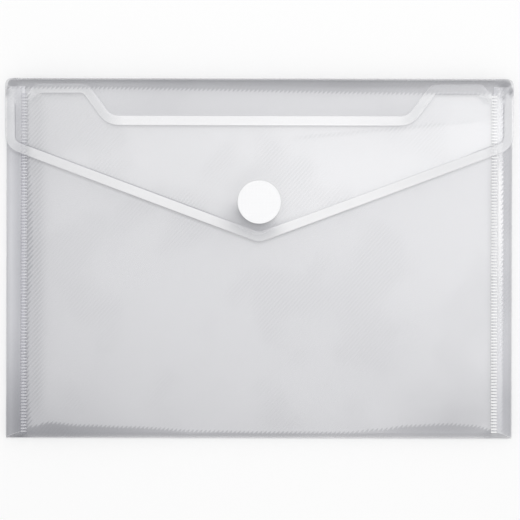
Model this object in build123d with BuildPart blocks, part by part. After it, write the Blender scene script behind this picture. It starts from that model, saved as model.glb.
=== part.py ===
from build123d import *

import math
import os

# A landscape document wallet for A5 sheets, cut from one sheet of clear film. It lies on its back:
# X runs across the wallet, Y from the bottom fold up to the top spine, and Z from the back to the flap.
# The origin is under the middle of the wallet, on the surface that it lies on. All sizes are in mm.

# The sheet and the pocket
wallet_width = 235.0
wallet_height = 167.0
film = 0.3
pocket_depth = 5.0
corner_radius = 3.2
crease_gap = 0.1
pocket_swing = 4.0  # degrees that the front panel swings open about the bottom fold

# The side gussets: each has a half on the back panel and a half welded under the front panel
gusset_width = 8.5
gusset_gap = 0.3
gusset_foot_rise = 3.25
gusset_top_drop = 3.7
gusset_slant_run = 5.0
gusset_slant_rise = 3.1

# The ribbed welds
weld_width = 3.0
weld_thickness = 0.1
rib_pitch = 1.4
rib_width = 0.7
rib_height = 0.15
rib_margin = 0.2

# The mouth of the front panel, with its thumb cut between two tabs
tab_drop = 2.7
tab_chamfer = 4.4
thumb_cut_depth = 14.9
thumb_cut_width = 137.4
thumb_cut_angle = 53.5  # degrees, slope of the ends of the thumb cut
mouth_radius = 6.5

# The flap: its length runs to where the two slanted edges would meet
flap_length = 76.2
flap_side_length = 32.5
shoulder_radius = 8.0
tip_radius = 8.0

# The line that is pressed along the free edges, and sets off their smooth rim
rim_width = 4.2
rim_groove_width = 0.4
rim_groove_depth = 0.1

# The hook-and-loop dots
dot_diameter = 20.0
dot_from_tip = 18.7
adhesive_thickness = 0.1
tape_thickness = 0.4
pile_height = 0.8
pile_edge_radius = 0.3
closure_gap = 0.1
hook_root_thickness = 0.1
hook_stem_height = 0.5
hook_head_height = 0.2
hook_stem_width = 0.35
hook_head_width = 0.7
hook_pitch = 1.25
hook_margin = 0.6

# Edges and levels that several pieces share
half_width = wallet_width / 2
top_y = wallet_height / 2
bottom_y = -top_y
front_z = film + pocket_depth
front_top_z = front_z + film
fold_radius = front_top_z / 2
fold_y = bottom_y + fold_radius
side_x = half_width - gusset_width
weld_inner_x = side_x - weld_width / 2
weld_outer_x = side_x + weld_width / 2
gusset_top_y = top_y - gusset_top_drop
tab_y = top_y - tab_drop
weld_top_y = tab_y - tab_chamfer
tab_end_x = weld_inner_x - tab_chamfer
cut_y = tab_y - thumb_cut_depth
cut_floor_x = thumb_cut_width / 2
cut_top_x = cut_floor_x + thumb_cut_depth / math.tan(math.radians(thumb_cut_angle))

# Levels of the closure, from the front panel up to the flap
loop_base_z = front_top_z + adhesive_thickness
pile_z = loop_base_z + tape_thickness
hook_tip_z = pile_z + pile_height + closure_gap
hook_root_z = hook_tip_z + hook_head_height + hook_stem_height
hook_base_z = hook_root_z + hook_root_thickness
hook_adhesive_z = hook_base_z + tape_thickness
flap_z = hook_adhesive_z + adhesive_thickness

# The flap's corners, and the dots above its tip
shoulder_y = top_y - flap_side_length
tip_y = top_y - flap_length
dot_y = tip_y + dot_from_tip
dot_radius = dot_diameter / 2


def foot_y(x):
    """Height of the slanted line, in plan, from the wallet's bottom corner up to the weld."""
    return bottom_y + gusset_foot_rise * (half_width - x) / gusset_width


# Back panel: a flat field between the gussets, with an ear at each top corner
ear_y = gusset_top_y + gusset_gap
with BuildPart() as back_panel:
    with BuildSketch() as back_outline:
        with BuildLine():
            Polyline(
                (0, fold_y),
                (side_x, fold_y),
                (side_x, ear_y),
                (half_width, ear_y),
                (half_width, top_y),
                (0, top_y),
            )
            mirror(about=Plane.YZ)
        make_face()
        outer_corners = back_outline.vertices().group_by(Axis.Y)[-1]
        fillet([outer_corners.sort_by(Axis.X)[0], outer_corners.sort_by(Axis.X)[-1]], corner_radius)
    extrude(amount=film)

# Bottom fold: a half round in two stretches, which stops short of the front panel that swings about its centre
fold_stop_angle = pocket_swing + math.degrees(crease_gap / fold_radius)
slant_end_x = half_width - gusset_width * fold_radius / gusset_foot_rise


def make_fold_stretch(start_angle, sweep):
    """A stretch of the bottom fold's half round, from a start angle through a sweep, in degrees."""
    with BuildPart() as stretch:
        with BuildSketch(Plane.YZ):
            with BuildLine():
                outside = CenterArc((fold_y, fold_radius), fold_radius, start_angle, -sweep)
                inside = CenterArc((fold_y, fold_radius), fold_radius - film, start_angle, -sweep)
                Line(outside @ 0, inside @ 0)
                Line(outside @ 1, inside @ 1)
            make_face()
        extrude(amount=half_width, both=True)
        with BuildSketch():
            with BuildLine():
                Polyline((0, bottom_y), (half_width, bottom_y), (slant_end_x, fold_y), (0, fold_y))
                mirror(about=Plane.YZ)
            make_face()
        extrude(amount=front_top_z, mode=Mode.INTERSECT)
    return stretch.part


# Top spine: the upright strip between the back panel and the flap
spine_foot_z = film + crease_gap
with BuildPart() as top_spine:
    with BuildSketch(Plane.XY.offset(spine_foot_z)) as spine_plan:
        with Locations((0, top_y - film / 2)):
            Rectangle(wallet_width - 2 * corner_radius, film)
    extrude(amount=flap_z - crease_gap - spine_foot_z)

# Front panel: the mouth is cut down between two tabs, and a line is pressed along it
mouth_points = [(-tab_end_x, tab_y), (-cut_top_x, tab_y), (-cut_floor_x, cut_y)]
mouth_points += [(-x, y) for x, y in reversed(mouth_points)]
with BuildPart() as front_panel:
    with BuildSketch(Plane.XY.offset(front_z)) as front_outline:
        with BuildLine():
            FilletPolyline(*mouth_points, radius=mouth_radius)
            Polyline(
                mouth_points[-1],
                (weld_inner_x, weld_top_y),
                (weld_outer_x, weld_top_y),
                (weld_outer_x, fold_y),
                (-weld_outer_x, fold_y),
                (-weld_outer_x, weld_top_y),
                (-weld_inner_x, weld_top_y),
                mouth_points[0],
            )
        make_face()
    extrude(amount=film)
    with BuildSketch(Plane.XY.offset(front_top_z)) as mouth_groove:
        with BuildLine() as mouth_line:
            FilletPolyline(*mouth_points, radius=mouth_radius)
            offset(amount=rim_width, side=Side.RIGHT, closed=False)
        trace(line_width=rim_groove_width)
    extrude(amount=-rim_groove_depth, mode=Mode.SUBTRACT)

# Flap: pointed, with round shoulders, and a line pressed along its sides and point
with BuildPart() as flap_panel:
    with BuildSketch(Plane.XY.offset(flap_z)) as flap_outline:
        with BuildLine():
            Polyline(
                (-half_width, top_y),
                (half_width, top_y),
                (half_width, shoulder_y),
                (0, tip_y),
                (-half_width, shoulder_y),
                close=True,
            )
        make_face()
        fillet(flap_outline.vertices().sort_by(Axis.Y)[-2:], corner_radius)
        fillet(flap_outline.vertices().sort_by(Axis.Y)[1:3], shoulder_radius)
        fillet(flap_outline.vertices().sort_by(Axis.Y)[0], tip_radius)
    extrude(amount=film)
    with BuildSketch(Plane.XY.offset(flap_z + film)) as flap_groove:
        with BuildLine() as flap_line:
            FilletPolyline(
                (-half_width, top_y),
                (-half_width, shoulder_y),
                (0, tip_y),
                (half_width, shoulder_y),
                (half_width, top_y),
                radius=[shoulder_radius, tip_radius, shoulder_radius],
            )
            offset(amount=rim_width, side=Side.LEFT, closed=False)
        trace(line_width=rim_groove_width)
    extrude(amount=-rim_groove_depth, mode=Mode.SUBTRACT)


def make_gusset_back(side):
    """Half of a side gusset that folds up from the back panel. Side is -1 for left, 1 for right."""
    crease_z = fold_radius - gusset_gap / 2
    with BuildPart() as gusset:
        with BuildSketch(Plane.XZ) as section:
            with BuildLine():
                Polyline(
                    (side * side_x, 0),
                    (side * half_width, crease_z - film),
                    (side * half_width, crease_z),
                    (side * side_x, film),
                    close=True,
                )
            make_face()
        extrude(amount=top_y, both=True)
        with BuildSketch() as plan:
            with BuildLine():
                Polyline(
                    (side * side_x, foot_y(side_x) + gusset_gap),
                    (side * half_width, foot_y(half_width) + gusset_gap),
                    (side * half_width, gusset_top_y),
                    (side * side_x, gusset_top_y),
                    close=True,
                )
            make_face()
        extrude(amount=front_top_z, mode=Mode.INTERSECT)
    return gusset.part


def make_gusset_front(side):
    """Half of a side gusset that is welded under the front panel. Side is -1 for left, 1 for right."""
    crease_z = fold_radius + gusset_gap / 2
    with BuildPart() as gusset:
        with BuildSketch(Plane.XZ) as section:
            with BuildLine():
                Polyline(
                    (side * half_width, crease_z),
                    (side * weld_outer_x, front_z - film),
                    (side * weld_inner_x, front_z - film),
                    (side * weld_inner_x, front_z),
                    (side * weld_outer_x, front_z),
                    (side * half_width, crease_z + film),
                    close=True,
                )
            make_face()
        extrude(amount=top_y, both=True)
        with BuildSketch() as plan:
            with BuildLine():
                Polyline(
                    (side * weld_inner_x, foot_y(weld_inner_x) + gusset_gap),
                    (side * half_width, foot_y(half_width) + gusset_gap),
                    (side * half_width, gusset_top_y),
                    (side * (weld_inner_x + gusset_slant_run), gusset_top_y),
                    (side * weld_inner_x, gusset_top_y - gusset_slant_rise),
                    close=True,
                )
            make_face()
        extrude(amount=front_top_z, mode=Mode.INTERSECT)
    return gusset.part


def make_weld_seam(side):
    """Ribbed weld on the front panel's margin. Side is -1 for left, 1 for right."""
    seam_length = weld_top_y - fold_y
    seam_centre = (side * side_x, fold_y + seam_length / 2)
    rib_count = int((seam_length - rib_width) / rib_pitch) + 1
    with BuildPart() as seam:
        with BuildSketch(Plane.XY.offset(front_top_z)) as strip:
            with Locations(seam_centre):
                Rectangle(weld_width, seam_length)
        extrude(amount=weld_thickness)
        with BuildSketch(Plane.XY.offset(front_top_z + weld_thickness)) as ribs:
            with Locations(seam_centre):
                with GridLocations(rib_pitch, rib_pitch, 1, rib_count):
                    Rectangle(weld_width - 2 * rib_margin, rib_width)
        extrude(amount=rib_height)
    return seam.part


def make_disc(level, thickness):
    """Round layer of the closure, from a level upwards."""
    with BuildPart() as disc:
        with BuildSketch(Plane.XY.offset(level)) as face:
            with Locations((0, dot_y)):
                Circle(dot_radius)
        extrude(amount=thickness)
    return disc.part


# Loop pile: a soft pad with a rounded upper edge
with BuildPart() as loop_pile:
    with BuildSketch(Plane.XY.offset(pile_z)) as pile_outline:
        with Locations((0, dot_y)):
            Circle(dot_radius)
    extrude(amount=pile_height)
    fillet(loop_pile.edges().sort_by(Axis.Z)[-1], pile_edge_radius)

# Hooks: stems with a cross bar at the tip, on a thin root that lies under the hook tape
hook_field_radius = dot_radius - hook_margin - hook_head_width / 2
hook_rows = 2 * int(hook_field_radius / hook_pitch) + 1
hook_grid = GridLocations(hook_pitch, hook_pitch, hook_rows, hook_rows)
hook_spots = [spot.position for spot in hook_grid if spot.position.length < hook_field_radius]
with BuildPart() as hook_pins:
    with BuildSketch(Plane.XY.offset(hook_root_z)) as hook_root:
        with Locations((0, dot_y)):
            Circle(dot_radius)
    extrude(amount=hook_root_thickness)
    with BuildSketch(Plane.XY.offset(hook_root_z)) as hook_stems:
        with Locations((0, dot_y)):
            with Locations(*hook_spots):
                Rectangle(hook_stem_width, hook_stem_width)
    extrude(amount=-hook_stem_height)
    with BuildSketch(Plane.XY.offset(hook_tip_z)) as hook_heads:
        with Locations((0, dot_y)):
            with Locations(*hook_spots):
                Rectangle(hook_head_width, hook_stem_width)
    extrude(amount=hook_head_height)

pieces = {
    "back_panel": back_panel.part,
    "bottom_fold_lower": make_fold_stretch(270, 90),
    "bottom_fold_upper": make_fold_stretch(180, 90 - fold_stop_angle),
    "top_spine": top_spine.part,
    "front_panel": front_panel.part,
    "flap_panel": flap_panel.part,
    "loop_adhesive": make_disc(front_top_z, adhesive_thickness),
    "loop_base": make_disc(loop_base_z, tape_thickness),
    "loop_pile": loop_pile.part,
    "hook_pins": hook_pins.part,
    "hook_base": make_disc(hook_base_z, tape_thickness),
    "hook_adhesive": make_disc(hook_adhesive_z, adhesive_thickness),
}
for side_name, side_sign in (("left", -1), ("right", 1)):
    pieces[f"{side_name}_gusset_back"] = make_gusset_back(side_sign)
    pieces[f"{side_name}_gusset_front"] = make_gusset_front(side_sign)
    pieces[f"{side_name}_weld_seam"] = make_weld_seam(side_sign)

os.makedirs("parts", exist_ok=True)
for name, piece in pieces.items():
    piece.label = name
    export_step(piece, f"parts/{name}.step")
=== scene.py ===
"""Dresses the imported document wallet: clear embossed film, ribbed welds, closure dots, studio and camera.

Sizes are in millimetres in the wallet's own frame, and turn into metres where a mesh is made.
"""

import logging
import math
from dataclasses import dataclass
from enum import Enum, auto
from typing import Callable, Sequence

import bmesh
import bpy
import numpy as np
from mathutils import Matrix, Vector
from mathutils.geometry import delaunay_2d_cdt


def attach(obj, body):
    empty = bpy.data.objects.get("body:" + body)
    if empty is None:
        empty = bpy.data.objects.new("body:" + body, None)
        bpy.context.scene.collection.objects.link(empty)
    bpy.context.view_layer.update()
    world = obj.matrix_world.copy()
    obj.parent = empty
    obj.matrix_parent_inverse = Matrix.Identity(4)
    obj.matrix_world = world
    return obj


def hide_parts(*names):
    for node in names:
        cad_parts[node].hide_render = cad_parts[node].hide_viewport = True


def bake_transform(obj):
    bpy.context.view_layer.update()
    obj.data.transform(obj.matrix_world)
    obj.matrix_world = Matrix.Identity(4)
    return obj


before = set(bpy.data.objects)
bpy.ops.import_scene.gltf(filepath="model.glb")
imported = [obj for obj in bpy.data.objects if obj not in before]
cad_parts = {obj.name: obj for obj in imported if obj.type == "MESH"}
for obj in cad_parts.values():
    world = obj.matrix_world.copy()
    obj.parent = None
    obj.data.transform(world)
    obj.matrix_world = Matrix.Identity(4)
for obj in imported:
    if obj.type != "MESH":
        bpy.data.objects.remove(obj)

MM = 0.001
# Longest distance between the points of a film's mesh, and round a corner, which has a few parts at least
MESH_STEP = 2.4
ARC_STEP = 1.2
ARC_PARTS = 3
# Shares of the mesh step: between rows of points, and kept free beside a guide line
ROW_SHARE = 0.87
CLEAR_SHARE = 0.55
# Rows of points beside a pressed line, beside the soft edge of a fold, and round the dot
LINE_ROWS = (-0.4, -0.1, 0.1, 0.4)
EDGE_ROWS = (-1.2, -0.4, 0.4, 1.2)
DOT_ROWS = (0.0, 0.1, 1.5, 3.5)
# Points left off at both ends of a guide line along a rim, and along the edge
RIM_TRIM = 3
EDGE_TRIM = 2
# Degrees of a fold's turn at which a row of points lies
FOLD_TURNS = (12, 24, 36, 48, 60, 75, 90)
# How much of a fold's height its slope takes for each mm of its run, and the length over which it eases off
FOLD_SLOPE = 0.03
FOLD_EASE = 1.2
# Distance over which a fold's share falls from 1 to 0
FOLD_BLUR = 6.0
# A pressed line's width, the rim's distance from it, and the depth of the cast lines on the rim
LINE_WIDTH = 0.3
RIM_GAP = 0.1
RIM_HATCH = 0.02
# A gap too small to see, the distance under which points of a mesh merge, and a guard against division by 0
HAIRLINE = 0.03
MERGE_GAP = 1e-4
TINY = 1e-12
# The Wave Texture turns by this many radians for each unit of its scale
WAVE_TURN = 20
# Power with which a mirror's share grows towards grazing
GRAZING_POWER = 5.0
SMOOTH = {"interpolation_type": "SMOOTHSTEP"}
ADD_SHARE = {"operation": "MULTIPLY_ADD", "use_clamp": True}

log = logging.getLogger("wallet")

Point = tuple[float, float]
Span = tuple[float, float]
Corner = tuple[float, float, float]
Material = bpy.types.Material
Mesh = bpy.types.Mesh
Node = bpy.types.Node
NodeTree = bpy.types.NodeTree
Object = bpy.types.Object
BMesh = bmesh.types.BMesh
BMVert = bmesh.types.BMVert


class Body(Enum):
    """The CAD bodies that the pieces move with."""

    BACK = "back"
    SPINE = "spine"
    FLAP = "flap"
    FRONT = "front"


class Side(Enum):
    """A side of the wallet, with the sign of its X."""

    LEFT = -1
    RIGHT = 1

    @property
    def label(self) -> str:
        """The side's name in the CAD nodes."""
        return self.name.lower()


class Along(Enum):
    """What a patch or a light's grade follows: an axis, or a distance or share measured on the film."""

    X = auto()
    Y = auto()
    Z = auto()
    # Distances out from the middle, down from the top edge, up from the bottom edge and up from the glints
    OUT = auto()
    DROP = auto()
    UP = auto()
    GLINT = auto()
    # The fold's own share
    FOLD = auto()


Places = dict[Along, np.ndarray]


# Soft shapes


def smoothstep(low: float, high: float, value: np.ndarray) -> np.ndarray:
    """Rises smoothly from 0 at low to 1 at high, which may be the lesser of the two."""
    share = np.clip((value - low) / (high - low), 0, 1)
    return share * share * (3 - 2 * share)


def bell(value: np.ndarray, width: float) -> np.ndarray:
    """Falls from 1 at 0 to about a third at a width to either side, and on to 0."""
    return np.exp(-((value / width) ** 2))


def quarter(share: np.ndarray) -> np.ndarray:
    """Height of a quarter round over its foot: 0 at share 0, level at share 1."""
    return np.sqrt(np.clip(1 - (1 - np.clip(share, 0, 1)) ** 2, 0, 1))


@dataclass(frozen=True)
class Patch:
    """A patch with soft edges, which comes and goes along ramps that multiply.

    Args:
        depth: Its strength where all of its ramps are full.
        ramps: What each ramp follows, where it is empty and where it is full.
    """

    depth: float
    ramps: tuple[tuple[Along, float, float], ...] = ()

    def at(self, places: Places) -> np.ndarray | float:
        """The patch's strength at places."""
        shares = (smoothstep(empty, full, places[along]) for along, empty, full in self.ramps)
        return self.depth * math.prod(shares)


def paint(patches: Sequence[Patch], places: Places) -> np.ndarray | float:
    """The strength of several patches together at places."""
    return sum(patch.at(places) for patch in patches)


@dataclass(frozen=True)
class Wave:
    """A soft wave in a film.

    Args:
        height: Its height to either side of the film in mm.
        run_x: Distance along X in which it turns by a radian, in mm.
        run_y: The same along Y.
        phase: Its phase in radians.
    """

    height: float
    run_x: float
    run_y: float
    phase: float = 0.0

    def at(self, flat: np.ndarray) -> np.ndarray:
        """The wave's height at points seen from above."""
        return self.height * np.sin(flat[:, 0] / self.run_x + flat[:, 1] / self.run_y + self.phase)


# Plane geometry


def fillet_outline(corners: Sequence[Corner], step: float = MESH_STEP, closed: bool = False) -> np.ndarray:
    """Rounds the corners of a line and divides its straight runs.

    Args:
        corners: The x, y and radius of each corner.
        step: The longest straight run between two points.
        closed: Whether the last corner joins the first.

    Returns:
        The points of the line, one row each.
    """
    count = len(corners)
    stops: list[np.ndarray] = []
    for index, (x, y, radius) in enumerate(corners):
        here = np.array((x, y))
        if radius <= 0 or (not closed and index in (0, count - 1)):
            stops.append(here)
            continue
        before = np.array(corners[index - 1][:2]) - here
        after = np.array(corners[(index + 1) % count][:2]) - here
        before /= np.linalg.norm(before)
        after /= np.linalg.norm(after)
        half = math.acos(float(np.clip(before @ after, -1, 1))) / 2
        middle = (before + after) / np.linalg.norm(before + after)
        centre = here + middle * radius / math.sin(half)
        first = here + before * radius / math.tan(half) - centre
        last = here + after * radius / math.tan(half) - centre
        turn = math.pi - 2 * half
        steps = max(ARC_PARTS, math.ceil(turn * radius / min(step, ARC_STEP)))
        for share in np.linspace(0, 1, steps + 1):
            arm = first * math.sin((1 - share) * turn) + last * math.sin(share * turn)
            stops.append(centre + arm / math.sin(turn))
    points: list[np.ndarray] = []
    for start, end in zip(stops, stops[1:] + stops[:1] if closed else stops[1:]):
        parts = max(1, math.ceil(np.linalg.norm(end - start) / step))
        points += [start + (end - start) * part / parts for part in range(parts)]
    if not closed:
        points.append(stops[-1])
    return np.array(points)


def mirrored(half: Sequence[Corner]) -> list[Corner]:
    """Carries a line of corners on into the wallet's other half, and back to its start there."""
    return [*half, *[(-x, y, radius) for x, y, radius in reversed(half)]]


def offset_line(line: np.ndarray, distance: float) -> np.ndarray:
    """Moves a line to its left, point by point.

    Args:
        line: The line's points.
        distance: How far it moves.

    Returns:
        The moved points.
    """
    run = np.gradient(line, axis=0)
    run /= np.linalg.norm(run, axis=1)[:, None]
    return line + distance * np.stack((-run[:, 1], run[:, 0]), axis=1)


def distance_to_line(points: np.ndarray, line: np.ndarray) -> np.ndarray:
    """Measures how far points are from a line.

    Args:
        points: The points.
        line: The line's points.

    Returns:
        The distance from each point to the line's nearest stretch.
    """
    nearest = np.full(len(points), np.inf)
    for start, end in zip(line[:-1], line[1:]):
        run = end - start
        share = np.clip((points - start) @ run / max(run @ run, TINY), 0, 1)
        nearest = np.minimum(nearest, np.linalg.norm(points - start - share[:, None] * run, axis=1))
    return nearest


def inside_outline(points: np.ndarray, outline: np.ndarray) -> np.ndarray:
    """Tells which points lie inside an outline.

    Args:
        points: The points.
        outline: The closed outline.

    Returns:
        For each point, if it lies inside.
    """
    within = np.zeros(len(points), bool)
    for (x0, y0), (x1, y1) in zip(outline, np.roll(outline, -1, axis=0)):
        crosses = (points[:, 1] < y0) != (points[:, 1] < y1)
        if y0 != y1:
            within ^= crosses & (points[:, 0] < x0 + (points[:, 1] - y0) * (x1 - x0) / (y1 - y0))
    return within


def triangulate(
    outline: np.ndarray, guides: Sequence[np.ndarray], step: float
) -> tuple[np.ndarray, np.ndarray]:
    """Fills an outline with triangles whose edges follow the guide lines.

    Args:
        outline: The closed outline.
        guides: Open lines inside the outline that triangle edges have to follow.
        step: The distance between the points that fill the rest.

    Returns:
        The points, and the three point numbers of each triangle.
    """
    low, high = outline.min(0), outline.max(0)
    rows = np.arange(low[1], high[1], step * ROW_SHARE)
    columns = np.arange(low[0], high[0], step)
    grid = np.array([(x + (row % 2) * step / 2, y) for row, y in enumerate(rows) for x in columns])
    grid = grid[inside_outline(grid, outline)]
    for line in (np.vstack((outline, outline[:1])), *guides):
        grid = grid[distance_to_line(grid, line) > step * CLEAR_SHARE]
    points = np.vstack((outline, *guides, grid))
    edges = [(index, (index + 1) % len(outline)) for index in range(len(outline))]
    start = len(outline)
    for guide in guides:
        edges += [(index, index + 1) for index in range(start, start + len(guide) - 1)]
        start += len(guide)
    border = list(range(len(outline)))
    made = delaunay_2d_cdt([Vector(point) for point in points], edges, [border], 1, MERGE_GAP)
    triangles = np.array([face for face in made[2] if len(face) == 3])
    flat = np.array([tuple(vertex) for vertex in made[0]])
    corners = flat[triangles]
    first, second = corners[:, 1] - corners[:, 0], corners[:, 2] - corners[:, 0]
    down = first[:, 0] * second[:, 1] - first[:, 1] * second[:, 0] < 0
    triangles[down] = triangles[down][:, ::-1]
    return flat, triangles


# Meshes


def add_object(name: str, mesh: Mesh, *finishes: Material) -> Object:
    """Links a new object at the origin.

    Args:
        name: The object's name.
        mesh: Its mesh.
        *finishes: The materials that its mesh gets.

    Returns:
        The object.
    """
    made = bpy.data.objects.new(name, mesh)
    bpy.context.scene.collection.objects.link(made)
    for finish in finishes:
        mesh.materials.append(finish)
    return made


def shade(mesh: Mesh, sharp_degrees: float) -> None:
    """Shades a mesh smooth, apart from its edges sharper than an angle."""
    mesh.polygons.foreach_set("use_smooth", np.ones(len(mesh.polygons), bool))
    mesh.set_sharp_from_angle(angle=math.radians(sharp_degrees))


def close_shape(name: str, shape: BMesh, sharp_degrees: float | None = None) -> Mesh:
    """Turns an edited shape into a mesh.

    Args:
        name: The mesh's name.
        shape: The shape, which is freed.
        sharp_degrees: The angle past which edges stay sharp. With none, the shape keeps its own shading.

    Returns:
        The mesh.
    """
    mesh = bpy.data.meshes.new(name)
    shape.to_mesh(mesh)
    shape.free()
    if sharp_degrees is not None:
        shade(mesh, sharp_degrees)
    return mesh


def shell_mesh(
    name: str, middle: np.ndarray, triangles: np.ndarray, thickness: float, zones: np.ndarray | None = None
) -> Mesh:
    """Makes a closed shell on both sides of a surface.

    Args:
        name: The mesh's name.
        middle: The points of the surface halfway through the sheet, in mm.
        triangles: The surface's triangles, anticlockwise from outside.
        thickness: The sheet's thickness in mm.
        zones: Each point's shares of milky rim with painted highlight, of fold with painted shade, of marks
            with
        painted shade, and of hatching, for the material.

    Returns:
        The closed mesh, in metres.
    """
    corners = middle[triangles]
    facing = np.cross(corners[:, 1] - corners[:, 0], corners[:, 2] - corners[:, 0])
    normals = np.zeros_like(middle)
    for corner in range(3):
        np.add.at(normals, triangles[:, corner], facing)
    normals /= np.maximum(np.linalg.norm(normals, axis=1), TINY)[:, None]
    count = len(middle)
    points = np.vstack((middle + normals * thickness / 2, middle - normals * thickness / 2))
    sides = np.vstack((triangles[:, (0, 1)], triangles[:, (1, 2)], triangles[:, (2, 0)]))
    known = {tuple(side) for side in sides.tolist()}
    rims = [(start, end) for start, end in known if (end, start) not in known]
    faces = triangles.tolist() + (triangles[:, ::-1] + count).tolist()
    faces += [(end, start, start + count, end + count) for start, end in sorted(rims)]
    mesh = bpy.data.meshes.new(name)
    mesh.from_pydata((points * MM).tolist(), [], faces)
    mesh.update()
    if zones is not None:
        colours = np.ones((2 * count, 4), np.float32)
        colours[:, :3] = np.vstack((zones, zones))[:, :3]
        mesh.color_attributes.new("zones", "FLOAT_COLOR", "POINT").data.foreach_set("color", colours.ravel())
        hatch = np.tile(zones[:, 3], 2).astype(np.float32)
        mesh.attributes.new("hatch", "FLOAT", "POINT").data.foreach_set("value", hatch)
    shade(mesh, sharp_degrees=50)
    return mesh


def skin_rings(shape: BMesh, rings: Sequence[Sequence[BMVert]]) -> None:
    """Joins each ring of points to the next with faces.

    Args:
        shape: The shape that the rings are in.
        rings: The rings, in order. A ring of one point is a pole.
    """
    for lower, upper in zip(rings, rings[1:]):
        count = max(len(lower), len(upper))
        for turn in range(count):
            following = (turn + 1) % count
            corners = [lower[turn % len(lower)], lower[following % len(lower)]]
            corners += [upper[following % len(upper)], upper[turn % len(upper)]]
            shape.faces.new(list(dict.fromkeys(corners)))


def lathe_mesh(name: str, profile: Sequence[Point], centre: Point, segments: int) -> Mesh:
    """Turns a profile of radius and height about an upright axis.

    Args:
        name: The mesh's name.
        profile: Radius and height in mm, from the axis at the bottom to the axis at the top.
        centre: The axis's x and y in mm.
        segments: The number of steps round the axis.

    Returns:
        The closed mesh, in metres.
    """
    shape = bmesh.new()
    rings: list[list[BMVert]] = []
    for radius, height in profile:
        angles = [2 * math.pi * turn / segments for turn in range(segments if radius > 0 else 1)]
        spots = [(centre[0] + radius * math.cos(a), centre[1] + radius * math.sin(a), height) for a in angles]
        rings.append([shape.verts.new(Vector(spot) * MM) for spot in spots])
    skin_rings(shape, rings)
    return close_shape(name, shape, sharp_degrees=40)


def bar_mesh(name: str, low: Sequence[float], high: Sequence[float], bevel: float) -> Mesh:
    """Makes a bar with rounded edges.

    Args:
        name: The mesh's name.
        low: Its lowest corner in mm.
        high: Its highest corner in mm.
        bevel: The rounding of its edges in mm.

    Returns:
        The closed mesh, in metres.
    """
    shape = bmesh.new()
    bmesh.ops.create_cube(shape, size=1)
    size = [b - a for a, b in zip(low, high)]
    middle = [(a + b) / 2 for a, b in zip(low, high)]
    place = Matrix.Translation(middle) @ Matrix.Diagonal((*size, 1))
    bmesh.ops.transform(shape, matrix=place, verts=shape.verts)
    bmesh.ops.bevel(shape, geom=shape.edges[:], offset=bevel, segments=2, profile=0.5, affect="EDGES")
    bmesh.ops.scale(shape, vec=(MM, MM, MM), verts=shape.verts)
    return close_shape(name, shape, sharp_degrees=40)


def tube_mesh(name: str, path: Sequence[Sequence[float]], radius: float, sides: int) -> Mesh:
    """Makes a closed tube along a path in the XZ plane.

    Args:
        name: The mesh's name.
        path: The path's points in mm.
        radius: The tube's radius in mm.
        sides: The number of steps round it.

    Returns:
        The closed mesh, in metres.
    """
    points = np.array(path, float)
    run = np.gradient(points, axis=0)
    run /= np.linalg.norm(run, axis=1)[:, None]
    across = np.array((0.0, 1.0, 0.0))
    angles = [2 * math.pi * turn / sides for turn in range(sides)]
    shape = bmesh.new()
    rings: list[list[BMVert]] = []
    for spot, along in zip(points, run):
        other = np.cross(along, across)
        ring = [spot + radius * (math.cos(a) * across + math.sin(a) * other) for a in angles]
        rings.append([shape.verts.new(Vector(place) * MM) for place in ring])
    skin_rings(shape, rings)
    shape.faces.new(rings[0][::-1])
    shape.faces.new(rings[-1])
    bmesh.ops.recalc_face_normals(shape, faces=shape.faces)
    return close_shape(name, shape, sharp_degrees=70)


def join_meshes(name: str, meshes: Sequence[Mesh]) -> Mesh:
    """Puts several meshes into one.

    Args:
        name: The new mesh's name.
        meshes: The meshes, which are removed.

    Returns:
        The new mesh.
    """
    shape = bmesh.new()
    for mesh in meshes:
        shape.from_mesh(mesh)
        bpy.data.meshes.remove(mesh)
    return close_shape(name, shape)


# Nodes


def add_node(
    tree: NodeTree, kind: str, settings: dict | None = None, numbered: dict | None = None, **sockets: object
) -> Node:
    """Adds a node to a tree.

    Args:
        tree: The node tree.
        kind: The node's type.
        settings: The node's own properties.
        numbered: Socket values by number, where two sockets share a name.
        **sockets: Socket values by name, with _ for a space. An output socket, or a node's first one, is
            linked, and any other value is set.

    Returns:
        The new node.
    """
    node = tree.nodes.new(kind)
    for key, value in (settings or {}).items():
        setattr(node, key, value)
    for key, value in [*(numbered or {}).items(), *sockets.items()]:
        socket = node.inputs[key] if isinstance(key, int) else node.inputs[key.replace("_", " ")]
        if isinstance(value, Node):
            value = value.outputs[0]
        if isinstance(value, bpy.types.NodeSocket):
            tree.links.new(value, socket)
        else:
            socket.default_value = value
    return node


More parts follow.
